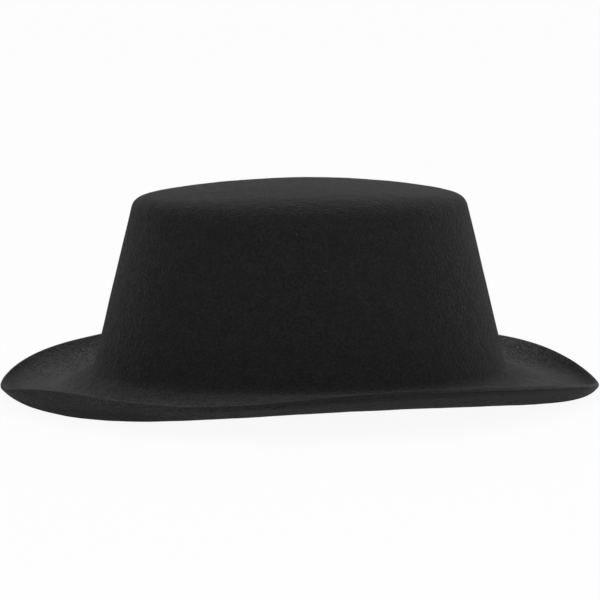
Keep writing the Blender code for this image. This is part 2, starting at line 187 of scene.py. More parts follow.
class FeltSizes(bpy.types.PropertyGroup):
    """Sizes of the felt's crown and brim, on its outer face."""

    crown_base_length: length("Crown base length", "Length of the oval at the crown's foot", 0.208)
    crown_base_width: length("Crown base width", "Width of that oval", 0.172)
    crown_tip_length: length("Crown tip length", "Length of the oval where side and tip would meet", 0.1656)
    crown_tip_width: length("Crown tip width", "Width of that oval", 0.1296)
    crown_height: length("Crown height", "From the base oval to the tip oval", 0.0871)
    tip_dome: length("Tip dome", "Rise of the tip's middle over its corner at the ends", 0.0063)
    tip_lifts: heights(
        "Tip lifts", "Rise of that corner over its height at the ends", 0.0, 0.0016, 0.0027, 0.0004, 0.0
    )
    tip_roundings: heights("Tip roundings", "Reach of that corner along the tip", 0.0072, 0.031, 0.0072)
    side_roundings: heights("Side roundings", "Reach of that corner down the side", 0.005, 0.016, 0.005)
    cove: length("Cove", "Reach of the hollow curve between crown and brim", 0.004)
    thickness: length("Felt thickness", "Thickness of the felt", 0.0025)
    edge_rounding: length("Edge rounding", "Rounding of the brim's raw edge", 0.0011)
    rest_flat: length("Rest flat", "How deep the felt is pressed flat where it stands", 0.0004)
    brim_end_width: length("Brim width at the ends", "From the crown's base oval to the upper edge", 0.0446)
    brim_side_width: length("Brim width at the sides", "From the crown's base oval to the upper edge", 0.049)
    joins: heights("Crown joins", "Where the brim leaves the crown", -0.001, 0.0005, 0.0023, 0.0016, 0.0011)
    dips: heights(
        "Brim dips", "Brim's fall below the crown's base", 0.01, 0.0074, 0.0019, 0.0, 0.0047, 0.0098, 0.01
    )
    edges: heights(
        "Brim edges", "Edge's height over the base", -0.0062, 0.001, 0.0063, 0.0096, 0.0043, 0.002, -0.0042
    )
    leans: heights(
        "Edge leans",
        "How far the edge stands over that on the wearer's right and under it on the left",
        -0.0003,
        0.0027,
        0.0,
        -0.0006,
        0.0019,
    )
    curl_starts: shares(
        "Curl starts", "Share of the brim before its edge curls", 0.88, 0.62, 0.42, 0.45, 0.48, 0.55, 0.66
    )
    curl_powers: shares("Curl powers", "How suddenly the edge curls up", 4.0, 2.5, 2.0, 2.0, 2.0, 2.2, 2.8)
    fall_power: amount("Fall power", "How softly the brim leaves the crown", 1.4)
    uneven_size: length("Uneven size", "Size of the soft unevenness of the blocked felt", 0.014)
    uneven_depth: length("Uneven depth", "Depth of that unevenness", 0.0003)
    # How much paler nap with painted light from above each place of the brim gets, less of it at the rim and
    # a little below it
    nap_and_painted_light_shares: shares(
        "Nap shares", "How much nap stands up on top of the brim", 0.4, 0.85, 0.75, 0.1, 0.8, 1.0, 0.7
    )
    nap_and_painted_light_rims: shares("Nap rims", "How much of that is left at the rim", 0.8, 1.0, 0.7, 0.0, 0.4, 0.3, 0.2)
    nap_and_painted_light_spills: shares("Nap spills", "How much nap is below the rim", 0.0, 0.0, 0.0, 0.0, 0.25, 0.2, 0.0)


class FeltLook(bpy.types.PropertyGroup):
    """Colours and texture of the felt."""

    # The felt's grain tone, with painted shade darkening the hollows of its grain
    hollow_shade_colour: colour("Hollow colour", "Felt in the hollows of its grain", (0.0084, 0.0084, 0.0086))
    ridge_colour: colour("Ridge colour", "Felt on the ridges of its grain", (0.02, 0.02, 0.0203))
    # Paler nap on top of the brim, partly painted light from above: these colours lighten the brim's
    # upturned faces and far lips
    nap_and_painted_light_hollow_colour: colour("Nap hollow colour", "Hollows where the nap stands up", (0.012, 0.012, 0.0122))
    nap_and_painted_light_ridge_colour: colour("Nap ridge colour", "Ridges where it stands up", (0.128, 0.128, 0.129))
    lint_colour: colour("Lint colour", "The few pale specks of lint", (0.09, 0.09, 0.088))
    grain_size: length("Grain size", "Size of the felted grain", 0.0011)
    fibre_size: length("Fibre size", "Size of the finest fibre texture", 0.0005)
    cloud_size: length("Cloud size", "Size of the slow change in the felt's tone", 0.006)
    grain_depth: length("Grain depth", "Depth of the grain's relief", 0.0015)
    lint_spacing: length("Lint spacing", "Size of the cells that may hold a speck of lint", 0.016)
    lint_size: length("Lint size", "Radius of a speck of lint", 0.0003)
    sheen: amount("Sheen", "Strength of the fibres' glow at grazing angles", 0.11)
    sheen_roughness: amount("Sheen roughness", "Spread of that glow", 0.2)


class InsideSizes(bpy.types.PropertyGroup):
    """Sizes of the lining, the sweatband and the reed inside the crown."""

    clearance: length("Clearance", "Gap between pieces that lie on each other", 0.0004)
    lining: length("Lining thickness", "Thickness of the satin", 0.0006)
    lining_tuck: length("Lining tuck", "How far the satin goes down behind the leather", 0.018)
    seam_drop: length("Seam drop", "From the rounding of the tip down to the lining's seam", 0.007)
    tip_sag: length("Tip sag", "Gap between the felt's tip and the satin under it", 0.001)
    puckers: IntProperty(name="Puckers", description="Small folds along the seam", default=64, min=1)
    pucker_depth: length("Pucker depth", "Depth of these folds", 0.0008)
    leather: length("Leather thickness", "Thickness of the sweatband", 0.0012)
    band_lift: length("Sweatband lift", "From the crown's base up to the leather's lower edge", 0.0045)
    band_height: length("Sweatband height", "Height of the leather", 0.034)
    band_join: length("Sweatband join", "Gap between the leather's ends at the back", 0.0012)
    line_drop: length("Line drop", "From the leather's upper edge down to its pressed line", 0.003)
    line_depth: length("Line depth", "Depth of the pressed line", 0.0003)
    reed: length("Reed diameter", "Diameter of the round reed", 0.0016)
    tape: length("Tape thickness", "Thickness of the tape folded round the reed", 0.0004)
    tape_height: length("Tape height", "How far the tape goes up behind the leather", 0.007)
    thread: length("Thread diameter", "Diameter of the sewing thread", 0.0006)
    stitch_length: length("Stitch length", "One zig and zag of the stitches along the leather", 0.006)
    stitch_width: length("Stitch width", "Height of the zigzag", 0.0024)
    stitch_lift: length("Stitch lift", "From the leather's lower edge to the middle of the zigzag", 0.0028)


class TrimSizes(bpy.types.PropertyGroup):
    """Sizes of the bow and the cloth label on the sweatband."""

    bow_width: length("Bow width", "Width across both loops", 0.022)
    bow_height: length("Bow height", "Height of a loop at its end", 0.008)
    bow_waist: length("Bow waist", "Height of the ribbon at the knot", 0.004)
    bow_notch: length("Bow notch", "How far a loop's end draws in at its middle", 0.0008)
    bow_fullness: length("Bow fullness", "How far a loop's front stands off its back", 0.0012)
    bow_lift: length("Bow lift", "From the leather's lower edge up to the knot", 0.017)
    tail_length: length("Tail length", "From the waist down to a tail's end", 0.008)
    tail_width: length("Tail width", "Width of a tail", 0.0034)
    tail_spread: length("Tail spread", "From the bow's middle out to a tail's corner", 0.008)
    tail_slant: length("Tail slant", "Slant of a tail's cut end", 0.0012)
    knot_width: length("Knot width", "Width of the knot", 0.0046)
    knot_height: length("Knot height", "Height of the knot", 0.0048)
    ribbon: length("Ribbon thickness", "Thickness of the ribbon", 0.0003)
    label_width: length("Label width", "Width of the cloth label", 0.024)
    label_height: length("Label height", "Height of the cloth label", 0.013)
    label_lift: length("Label lift", "From the leather's lower edge up to the label", 0.012)
    label_thickness: length("Label thickness", "Thickness of the label's cloth", 0.0005)
    label_angle: turn("Label angle", "Place of the label, counted from the front of the hat", 90.0)


class InsideLook(bpy.types.PropertyGroup):
    """Colours of the pieces inside the crown."""

    satin: colour("Satin", "Colour of the lining", (0.014, 0.014, 0.016))
    satin_shade: colour("Satin shade", "Colour between the lining's threads", (0.009, 0.009, 0.0105))
    leather: colour("Leather", "Colour of the sweatband", (0.02, 0.0178, 0.0165))
    # Darker colour for the grain's creases: painted shade
    leather_crease_shade: colour("Leather crease", "Colour in the grain of the sweatband", (0.01, 0.009, 0.0085))
    reed: colour("Reed", "Colour of the reed", (0.37, 0.35, 0.3))
    reed_streak: colour("Reed streak", "Colour of the reed's streaks", (0.31, 0.29, 0.245))
    tape: colour("Tape", "Colour of the tape", (0.023, 0.023, 0.023))
    tape_shade: colour("Tape shade", "Colour between the tape's threads", (0.011, 0.011, 0.011))
    thread: colour("Thread", "Colour of the sewing thread", (0.035, 0.035, 0.035))
    thread_shade: colour("Thread shade", "Colour between the thread's strands", (0.016, 0.016, 0.016))
    ribbon: colour("Ribbon", "Colour of the bow", (0.019, 0.019, 0.021))
    ribbon_shade: colour("Ribbon shade", "Colour between the ribbon's ribs", (0.009, 0.009, 0.01))
    label: colour("Label", "Colour of the label", (0.62, 0.61, 0.58))
    label_shade: colour("Label shade", "Colour between the label's threads", (0.46, 0.45, 0.42))


class StageSettings(bpy.types.PropertyGroup):
    """Camera and light."""

    azimuth: turn("Azimuth", "Camera's turn from a view of the wearer's right side", -7.5)
    elevation: turn("Elevation", "Camera's height over the horizon", 8.3)
    distance: length("Distance", "From the camera to the point that it looks at", 1.5)
    aim_height: length("Aim height", "Height of the point that the camera looks at", 0.0466)
    lens: amount("Lens", "Focal length in millimetres on a 36 mm sensor", 180.0)
    ambient: amount("Ambient light", "Strength of the even light from all round", 0.78)
    side_power: amount("Side power", "Watts of the soft lamp at the hat's front", 4.0)
    front_power: amount("Front power", "Watts of the soft lamp on the camera's side", 5.5)
    floor_glow: amount("Floor glow", "Share of the floor's whiteness that takes no shadow", 0.93)


def side_lean(felt):
    """The lean of the crown's side from upright."""
    return math.atan2(felt.crown_base_length - felt.crown_tip_length, 2.0 * felt.crown_height)


def base_height(felt):
    """Height of the crown's base over the floor, with both ends of the brim standing on it."""
    return felt.dips[0] + felt.thickness - felt.rest_flat


def base_girth(felt):
    """About how far it is round the crown's base."""
    return math.pi * (felt.crown_base_length + felt.crown_base_width) / 2.0


def mix(low, high, share):
    """A value share of the way from low to high."""
    return low + (high - low) * share


def smooth_step(low, high, value):
    """0 on low's side, 1 on high's side and a smooth rise between them."""
    share = min(max((value - low) / (high - low), 0.0), 1.0)
    return share * share * (3.0 - 2.0 * share)


def bend(start, corner, end, share):
    """A point of the curve that leaves start towards corner and arrives at end from it."""
    first = mix(start[0], corner[0], share), mix(start[1], corner[1], share)
    second = mix(corner[0], end[0], share), mix(corner[1], end[1], share)
    return mix(first[0], second[0], share), mix(first[1], second[1], share)


def blend_around(angle, values):
    """A smooth value round the hat through even stations from front to back, alike on both sides."""
    last = len(values) - 1
    total = 0.0
    for wave in range(last + 1):
        swing = 0.0
        for place, value in enumerate(values):
            share = 0.5 if place in (0, last) else 1.0
            swing += share * value * math.cos(math.pi * wave * place / last)
        share = 0.5 if wave in (0, last) else 1.0
        total += share * swing * 2.0 / last * math.cos(wave * angle)
    return total


def lean_around(angle, values):
    """A smooth value round the hat, nothing at its front and back and turned over on the right."""
    parts = len(values) + 1
    total = 0.0
    for wave in range(1, parts):
        swing = 0.0
        for place, value in enumerate(values, 1):
            swing += value * math.sin(math.pi * wave * place / parts)
        total += swing * 2.0 / parts * math.sin(wave * angle)
    return total


def brim_height(felt, angle, across):
    """The brim's upper face over the crown's base, across of the way from the crown to the edge."""
    join = blend_around(angle, felt.joins)
    dip = blend_around(angle, felt.dips)
    edge = blend_around(angle, felt.edges) - lean_around(angle, felt.leans)
    start = blend_around(angle, felt.curl_starts)
    fall = math.sin(0.5 * math.pi * min(across / start, 1.0)) ** felt.fall_power
    curl = max(0.0, (across - start) / (1.0 - start)) ** blend_around(angle, felt.curl_powers)
    return mix(join, -dip, fall) + (edge + dip) * curl


def crown_oval(felt, height):
    """Half the length and half the width of the crown's straight side at a height over its base."""
    share = height / felt.crown_height
    half_length = mix(felt.crown_base_length, felt.crown_tip_length, share) / 2.0
    half_width = mix(felt.crown_base_width, felt.crown_tip_width, share) / 2.0
    return half_length, half_width


def tip_fall(felt, angle):
    """How far the domed tip falls from its middle to its corner at an angle."""
    return felt.tip_dome - blend_around(angle, felt.tip_lifts)


def tip_height(felt, angle, share):
    """The domed tip's upper face over the crown's base, share of the way from its middle to its corner."""
    return felt.crown_height + felt.tip_dome - tip_fall(felt, angle) * share**2


def felt_meridian(felt, angle):
    """The felt's outer face at an angle, from tip to edge, as (half length, half width, height)."""
    points = []
    half_tip = felt.crown_tip_length / 2.0
    rounding = blend_around(angle, felt.tip_roundings)
    flat = half_tip - rounding
    for row in range(1, TIP_ROWS + 1):
        share = flat / half_tip * row / TIP_ROWS
        points.append((half_tip * share, felt.crown_tip_width / 2.0 * share, tip_height(felt, angle, share)))

    top = flat, tip_height(felt, angle, flat / half_tip)
    slope = 2.0 * tip_fall(felt, angle) * flat / half_tip**2
    lean = math.tan(side_lean(felt))
    reach = (rounding + lean * (felt.crown_height - top[1])) / (1.0 - lean * slope)
    corner = flat + reach, top[1] - slope * reach
    side_drop = blend_around(angle, felt.side_roundings) * math.cos(side_lean(felt))
    side_top = corner[0] + side_drop * lean, corner[1] - side_drop
    oval = (felt.crown_tip_length - felt.crown_tip_width) / 2.0
    flat_width = flat * felt.crown_tip_width / felt.crown_tip_length
    for row in range(1, ROUNDING_ROWS + 1):
        share = row / ROUNDING_ROWS
        half_length, height = bend(top, corner, side_top, share)
        narrowed = mix(flat - flat_width, oval, share)
        points.append((half_length, half_length - narrowed, height))

    join = blend_around(angle, felt.joins)
    for row in range(1, SIDE_ROWS + 1):
        height = mix(side_top[1], join + felt.cove, row / SIDE_ROWS)
        points.append((*crown_oval(felt, height), height))

    join_length, join_width = crown_oval(felt, join)
    end_width = felt.crown_base_length / 2.0 + felt.brim_end_width - join_length
    side_width = felt.crown_base_width / 2.0 + felt.brim_side_width - join_width
    cove_share = felt.cove / end_width
    above = -lean * felt.cove, join + felt.cove
    below = felt.cove, brim_height(felt, angle, cove_share)
    for row in range(1, COVE_ROWS + 1):
        out, height = bend(above, (0.0, join), below, row / COVE_ROWS)
        widened = side_width / end_width if out > 0.0 else 1.0
        points.append((join_length + out, join_width + out * widened, height))

    for row in range(1, BRIM_ROWS + 1):
        across = mix(cove_share, 1.0, row / BRIM_ROWS)
        half_length = join_length + across * end_width
        points.append((half_length, join_width + across * side_width, brim_height(felt, angle, across)))
    lift = base_height(felt)
    return [(half_length, half_width, lift + height) for half_length, half_width, height in points]


def across_brim(felt, point):
    """How far a point is across the brim: 0 at the crown's base oval and 1 at the upper edge."""
    reach = math.hypot(point.x, point.y)
    if reach == 0.0:
        return 0.0
    radii = []
    for at_end, at_side in ((0.0, 0.0), (felt.brim_end_width, felt.brim_side_width)):
        half_length = felt.crown_base_length / 2.0 + at_end
        half_width = felt.crown_base_width / 2.0 + at_side
        radii.append(reach / math.hypot(point.x / half_length, point.y / half_width))
    return (reach - radii[0]) / (radii[1] - radii[0])


def crown_point(felt, angle, height, depth):
    """A point of the crown's side, height over its base and depth inside the felt's outer face."""
    half_length, half_width = crown_oval(felt, height)
    inset = depth / math.cos(side_lean(felt))
    level = base_height(felt) + height
    return (half_length - inset) * math.cos(angle), (half_width - inset) * math.sin(angle), level


def lining_depth(felt, inside):
    """Depth of the lining's outer face inside the felt's."""
    return felt.thickness + inside.clearance


def leather_depth(felt, inside):
    """Depth of the leather's outer face inside the felt's."""
    return lining_depth(felt, inside) + inside.lining + inside.clearance


def leather_face(felt, inside):
    """Depth of the leather's inner face inside the felt's."""
    return leather_depth(felt, inside) + inside.leather


def leather_top(inside):
    """Height of the leather's upper edge over the crown's base."""
    return inside.band_lift + inside.band_height


def seam_height(felt, inside):
    """Height of the lining's seam over the crown's base."""
    return felt.crown_height - felt.side_roundings[0] - inside.seam_drop


def band_angle(felt, inside, along):
    """The angle a share along the sweatband, which starts and ends at its join at the back."""
    half_join = inside.band_join / felt.crown_base_width
    return mix(half_join - BACK, BACK - half_join, along)


def drift(angle, spread, level):
    """Smooth noise round the hat at a level, busier with a wider spread."""
    return noise.noise(Vector((spread * math.cos(angle), spread * math.sin(angle), level)))


def pucker(inside, angle):
    """The uneven depth of the small folds along the lining's seam, 0 between two folds."""
    wander = drift(angle, 3.0, 0.0)
    size = drift(angle, 9.0, 9.0)
    wave = 0.5 + 0.5 * math.sin(inside.puckers * angle + 2.0 * wander)
    return inside.pucker_depth * wave**2 * (0.6 + 0.4 * size)


def rename(piece, name):
    """Give a piece and its mesh one name."""
    piece.name = name
    piece.data.name = name
    return piece


def ring_piece(name, columns, ovals):
    """A piece drawn out as by hand: an oval of edges, extruded and resized from each oval to the next."""
    bpy.ops.object.select_all(action="DESELECT")
    bpy.ops.mesh.primitive_circle_add(vertices=columns, radius=1.0, enter_editmode=True)
    piece = rename(bpy.context.object, name)
    half_length, half_width, height = ovals[0]
    bpy.ops.transform.resize(value=(half_length, half_width, 1.0), center_override=(0.0, 0.0, 0.0))
    bpy.ops.transform.translate(value=(0.0, 0.0, height))
    for before, after in zip(ovals, ovals[1:]):
        bpy.ops.mesh.extrude_region_move(TRANSFORM_OT_translate={"value": (0.0, 0.0, after[2] - before[2])})
        stretch = after[0] / before[0], after[1] / before[1], 1.0
        bpy.ops.transform.resize(value=stretch, center_override=(0.0, 0.0, after[2]))
    bpy.ops.object.mode_set(mode="OBJECT")
    return piece


def close_middle(piece, columns, height):
    """Close the first ring of a ring piece with a fan of faces to a point on the axis."""
    first = set(range(columns))
    for vertex in piece.data.vertices:
        vertex.select = vertex.index in first
    for edge in piece.data.edges:
        edge.select = first.issuperset(edge.vertices)
    bpy.ops.object.mode_set(mode="EDIT")
    bpy.ops.mesh.extrude_region_move()
    bpy.ops.mesh.merge(type="CENTER")
    bpy.ops.object.mode_set(mode="OBJECT")
    piece.data.vertices[-1].co = 0.0, 0.0, height


def strip_piece(name, columns, rows, place):
    """A piece drawn flat as a grid and laid where place says for each share along it and up it."""
    bpy.ops.object.select_all(action="DESELECT")
    bpy.ops.mesh.primitive_grid_add(x_subdivisions=columns, y_subdivisions=rows, size=2.0)
    piece = rename(bpy.context.object, name)
    for vertex in piece.data.vertices:
        vertex.co = place((vertex.co.x + 1.0) / 2.0, (vertex.co.y + 1.0) / 2.0)
    bpy.ops.object.mode_set(mode="EDIT")
    bpy.ops.mesh.select_all(action="SELECT")
    bpy.ops.mesh.remove_doubles(threshold=MERGE_REACH)
    bpy.ops.object.mode_set(mode="OBJECT")
    return piece


def turn_outwards():
    """Turn the active piece's faces all one way, and outwards where it is closed."""
    bpy.ops.object.mode_set(mode="EDIT")
    bpy.ops.mesh.select_all(action="SELECT")
    bpy.ops.mesh.normals_make_consistent(inside=False)
    bpy.ops.object.mode_set(mode="OBJECT")


def join_pieces(pieces, name):
    """Make several closed pieces one: the first takes in the others and gets a new name."""
    bpy.ops.object.select_all(action="DESELECT")
    for piece in pieces:
        piece.select_set(True)
    bpy.context.view_layer.objects.active = pieces[0]
    bpy.ops.object.join()
    turn_outwards()
    return rename(pieces[0], name)


def face_up(piece):
    """Turn an open skin's faces all one way, with those at its highest point looking up."""
    turn_outwards()
    highest = max(piece.data.polygons, key=lambda face: face.center.z)
    if highest.normal.z < 0.0:
        bpy.ops.object.mode_set(mode="EDIT")
        bpy.ops.mesh.flip_normals()
        bpy.ops.object.mode_set(mode="OBJECT")


def apply_modifier(piece, kind, **settings):
    """Add a modifier with its settings and apply it."""
    modifier = piece.modifiers.new(kind.lower(), kind)
    for name, value in settings.items():
        setattr(modifier, name, value)
    bpy.context.view_layer.objects.active = piece
    bpy.ops.object.modifier_apply(modifier=modifier.name)


def round_edges(piece, width, segments):
    """Round the sharp edges of a wall."""
    sharp = {"limit_method": "ANGLE", "angle_limit": EDGE_ANGLE}
    apply_modifier(piece, "BEVEL", width=width, segments=segments, **sharp)


def settle(piece, node, finish):
    """Give a finished piece its material and its place on the hat, and hide the CAD part that it stands for.
    """
    bpy.ops.object.select_all(action="DESELECT")
    piece.select_set(True)
    bpy.context.view_layer.objects.active = piece
    bpy.ops.object.shade_smooth_by_angle(angle=SMOOTH_ANGLE)
    piece.data.materials.clear()
    piece.data.materials.append(finish)
    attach(piece, BODY)
    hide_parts(node)


class Nodes:
    """The nodes of a material or of the world, in the making."""

    def __init__(self, owner):
        owner.use_nodes = True
        self.tree = owner.node_tree

    def feed(self, node, sockets):
        """Set or link a node's sockets by name or number."""
        for key, value in sockets.items():
            if isinstance(value, bpy.types.NodeSocket):
                self.tree.links.new(value, node.inputs[key])
            else:
                node.inputs[key].default_value = value

    def add(self, kind, sockets, **settings):
        """A new node with its settings and sockets."""
        node = self.tree.nodes.new(kind)
        for name, value in settings.items():
            setattr(node, name, value)
        self.feed(node, sockets)
        return node

    def math(self, operation, *values):
        """One sum on two or three values."""
        return self.add("ShaderNodeMath", dict(enumerate(values)), operation=operation).outputs[0]

    def seen(self):
        """1 for rays from the camera and for those seen in gloss or glass, 0 for light."""
        path = self.add("ShaderNodeLightPath", {}).outputs
        shown = self.math("MAXIMUM", path["Is Camera Ray"], path["Is Glossy Ray"])
        return self.math("MAXIMUM", shown, path["Is Transmission Ray"])


class Finish(Nodes):
    """A Principled material in the making."""

    def __init__(self, name, sockets):
        self.material = bpy.data.materials.new(name)
        super().__init__(self.material)
        self.shader = self.tree.nodes["Principled BSDF"]
        self.feed(self.shader, sockets)
        places = self.add("ShaderNodeTexCoord", {}).outputs
        self.place = places["Object"]
        self.unrolled = places["UV"]

    def noise(self, size, detail):
        """Soft noise of a feature size in metres."""
        sockets = {"Vector": self.place, "Scale": 1.0 / size, "Detail": detail}
        return self.add("ShaderNodeTexNoise", sockets).outputs["Fac"]

    def cells(self, size):
        """Distance from the middle of round cells of a size in metres."""
        sockets = {"Vector": self.place, "Scale": 1.0 / size}
        return self.add("ShaderNodeTexVoronoi", sockets).outputs["Distance"]

    def cloth(self, along, up):
        """Places on a piece's own UV map, stretched to the metres that it measures along and up."""
        sockets = {"Vector": self.unrolled, "Scale": (along, up, 1.0)}
        return self.add("ShaderNodeMapping", sockets).outputs["Vector"]

    def threads(self, place, pitch, axis):
        """Rounded threads of a pitch in metres, side by side along an axis."""
        sockets = {"Vector": place, "Scale": WAVE_SCALE / pitch}
        return self.add("ShaderNodeTexWave", sockets, bands_direction=axis).outputs["Fac"]

    def spread(self, value, source, target):
        """A value carried smoothly from a source range to a target range."""
        sockets = {"Value": value, "From Min": source[0], "From Max": source[1]}
        sockets.update({"To Min": target[0], "To Max": target[1]})
        return self.add("ShaderNodeMapRange", sockets, interpolation_type="SMOOTHSTEP").outputs["Result"]

    def blend(self, share, first, second):
        """A colour between two, each a plain colour or another node's."""
        node = self.add("ShaderNodeMix", {0: share}, data_type="RGBA")
        for place, tint in ((6, first), (7, second)):
            self.feed(node, {place: tint if isinstance(tint, bpy.types.NodeSocket) else (*tint, 1.0)})
        return node.outputs[2]

    def paint(self, share, dark, light):
        """Colour the surface between dark and light."""
        self.feed(self.shader, {"Base Color": self.blend(share, dark, light)})

    def roughen(self, value, source, target):
        """Let the roughness follow a value over the surface."""
        self.feed(self.shader, {"Roughness": self.spread(value, source, target)})

    def bump(self, height, depth, strength):
        """Relief on the whole surface."""
        node = self.add("ShaderNodeBump", {"Height": height, "Distance": depth, "Strength": strength})
        self.feed(self.shader, {"Normal": node.outputs["Normal"]})


def felt_finish(look):
    """Black wool felt: mottled, matted fibre that glows at grazing angles, pressed smoother at the edge,
    with painted shade in the grain's hollows and a paler nap on the brim that carries painted light from
    above.
    """
    finish = Finish(
        "black_felt",
        {
            "Roughness": 0.95,
            "Specular IOR Level": 0.1,
            "Sheen Weight": look.sheen,
            "Sheen Roughness": look.sheen_roughness,
        },
    )
    pressed = finish.add("ShaderNodeAttribute", {}, attribute_name="pressed").outputs["Fac"]
    nap_and_painted_light = finish.add("ShaderNodeAttribute", {}, attribute_name="nap_and_painted_light").outputs["Fac"]
    loose = finish.spread(pressed, WHOLE, (1.0, PRESSED_RELIEF))
    grain = finish.noise(look.grain_size, detail=3.0)
    fibre = finish.noise(look.fibre_size, detail=2.0)
    cloud = finish.noise(look.cloud_size, detail=2.0)
    fine = finish.math("MULTIPLY", fibre, FIBRE_SHARE)
    relief = finish.math("MULTIPLY_ADD", grain, GRAIN_SHARE, fine)
    patches = finish.spread(cloud, NOISE_RANGE, (CLOUD_SHADE, 1.0))
    # Darker in the grain's hollows: partly the felt's own mottled tone, partly painted shade in the hollows
    share = finish.math("MULTIPLY", finish.spread(relief, NOISE_RANGE, WHOLE), patches)
    wool = finish.blend(share, look.hollow_shade_colour, look.ridge_colour)
    # Paler nap on the brim, carrying painted light from above on its upturned faces
    raised = finish.blend(share, look.nap_and_painted_light_hollow_colour, look.nap_and_painted_light_ridge_colour)
    speck = look.lint_size / look.lint_spacing
    lint = finish.spread(finish.cells(look.lint_spacing), (0.5 * speck, speck), (1.0, 0.0))
    finish.paint(lint, finish.blend(nap_and_painted_light, wool, raised), look.lint_colour)
    uneven = finish.math("MULTIPLY_ADD", cloud, CLOUD_RELIEF, relief)
    finish.bump(uneven, look.grain_depth, loose)
    return finish.material


def nap_and_painted_light_at(felt, vertex, across):
    """How much paler nap and painted light from above a point gets: on top of the brim, less at its rim,
    little below it.
    """
    angle = math.atan2(vertex.co.y / felt.crown_base_width, vertex.co.x / felt.crown_base_length)
    side = mix(RIGHT_RIM_SHARE, 1.0, smooth_step(*LEFTWARDS, vertex.co.y))
    at_rim = side * blend_around(angle, felt.nap_and_painted_light_rims)
    above = smooth_step(*NAP_AND_PAINTED_LIGHT_RISE, across) * blend_around(angle, felt.nap_and_painted_light_shares)
    above *= mix(1.0, at_rim, smooth_step(*RIM_FADE, across))
    below = smooth_step(*SPILL_RISE, across) * blend_around(angle, felt.nap_and_painted_light_spills)
    # Faces turned up take the paler colour and faces turned down little of it: painted light from above
    return mix(below, above, smooth_step(*TURNED_UP, vertex.normal.z))


class HAT_OT_felt_shell(bpy.types.Operator):
    """Crown and brim in one piece of felt, with the brim's soft raw edge"""

    bl_idname = "hat.felt_shell"
    bl_label = "Felt shell"

    def execute(self, context):
        felt = context.scene.hat_felt
        front = felt_meridian(felt, 0.0)
        shell = ring_piece("felt_shell", FELT_COLUMNS, front)
        half_length, half_width, _height = front[0]
        first = [vertex.co for vertex in shell.data.vertices[:FELT_COLUMNS]]
        angles = [math.atan2(point.y / half_width, point.x / half_length) for point in first]
        lines = [felt_meridian(felt, angle) for angle in angles]
        for vertex in shell.data.vertices:
            row, column = divmod(vertex.index, FELT_COLUMNS)
            half_length, half_width, height = lines[column][row]
            angle = angles[column]
            vertex.co = half_length * math.cos(angle), half_width * math.sin(angle), height
        close_middle(shell, FELT_COLUMNS, base_height(felt) + tip_height(felt, 0.0, 0.0))
        face_up(shell)
        apply_modifier(shell, "SUBSURF", levels=1, render_levels=1)
        unevenness = bpy.data.textures.new("felt_unevenness", "CLOUDS")
        unevenness.noise_scale = felt.uneven_size
        depth = felt.uneven_depth
        apply_modifier(shell, "DISPLACE", texture=unevenness, strength=depth, texture_coords="LOCAL")
        apply_modifier(shell, "SOLIDIFY", thickness=felt.thickness, offset=-1.0, use_even_offset=True)
        round_edges(shell, felt.edge_rounding, EDGE_SEGMENTS)
        pressed = shell.data.attributes.new("pressed", "FLOAT", "POINT")
        nap_and_painted_light = shell.data.attributes.new("nap_and_painted_light", "FLOAT", "POINT")
        for vertex in shell.data.vertices:
            vertex.co.z = max(vertex.co.z, 0.0)
        for vertex in shell.data.vertices:
            across = across_brim(felt, vertex.co)
            pressed.data[vertex.index].value = smooth_step(*PRESSED_RISE, across)
            # Paler nap with painted light from above, kept on each point for the felt's finish
            nap_and_painted_light.data[vertex.index].value = nap_and_painted_light_at(felt, vertex, across)
        settle(shell, "felt_body", felt_finish(context.scene.hat_felt_look))
        return {"FINISHED"}


def satin_finish(name, look, size=None):
    """Black satin: long glossy threads one way, crossed by a faint weft, with soft streaks."""
    finish = Finish(name, {"Specular IOR Level": 0.5, "Sheen Weight": 0.05, "Anisotropic": 0.4})
    streaks = finish.noise(size=0.0040, detail=3.0)
    place = finish.cloth(*size) if size else finish.place
    floats = finish.threads(place, pitch=0.0004, axis="X")
    cross = finish.threads(place, pitch=0.0010, axis="Y")
    relief = finish.math("MULTIPLY_ADD", cross, 0.25, finish.math("MULTIPLY", floats, 0.75))
    raised = finish.spread(relief, WHOLE, (0.3, 1.0))
    share = finish.math("MULTIPLY", finish.spread(streaks, NOISE_RANGE, (0.5, 1.0)), raised)
    finish.paint(share, look.satin_shade, look.satin)
    finish.roughen(streaks, NOISE_RANGE, (0.30, 0.44))
    finish.bump(relief, depth=0.00006, strength=0.5)
    return finish.material


def leather_finish(look):
    """Fine-grained black leather: small rounded cells between creases, duller in the creases and darker
    there with painted shade.
    """
    finish = Finish("black_leather", {"Specular IOR Level": 0.45})
    grain = finish.cells(size=0.0011)
    fine = finish.noise(size=0.0004, detail=2.0)
    wear = finish.noise(size=0.0150, detail=3.0)
    relief = finish.math("MULTIPLY_ADD", fine, 0.25, finish.spread(grain, (0.15, 0.65), (1.0, 0.0)))
    relief_range = 0.0, 1.1
    raised = finish.spread(relief, relief_range, (0.2, 1.0))
    share = finish.math("MULTIPLY", raised, finish.spread(wear, NOISE_RANGE, (0.7, 1.0)))
    # Darker in the creases: painted shade, times the leather's wear tone
    finish.paint(share, look.leather_crease_shade, look.leather)
    finish.roughen(relief, relief_range, (0.62, 0.42))
    finish.bump(relief, depth=0.00012, strength=0.6)
    return finish.material


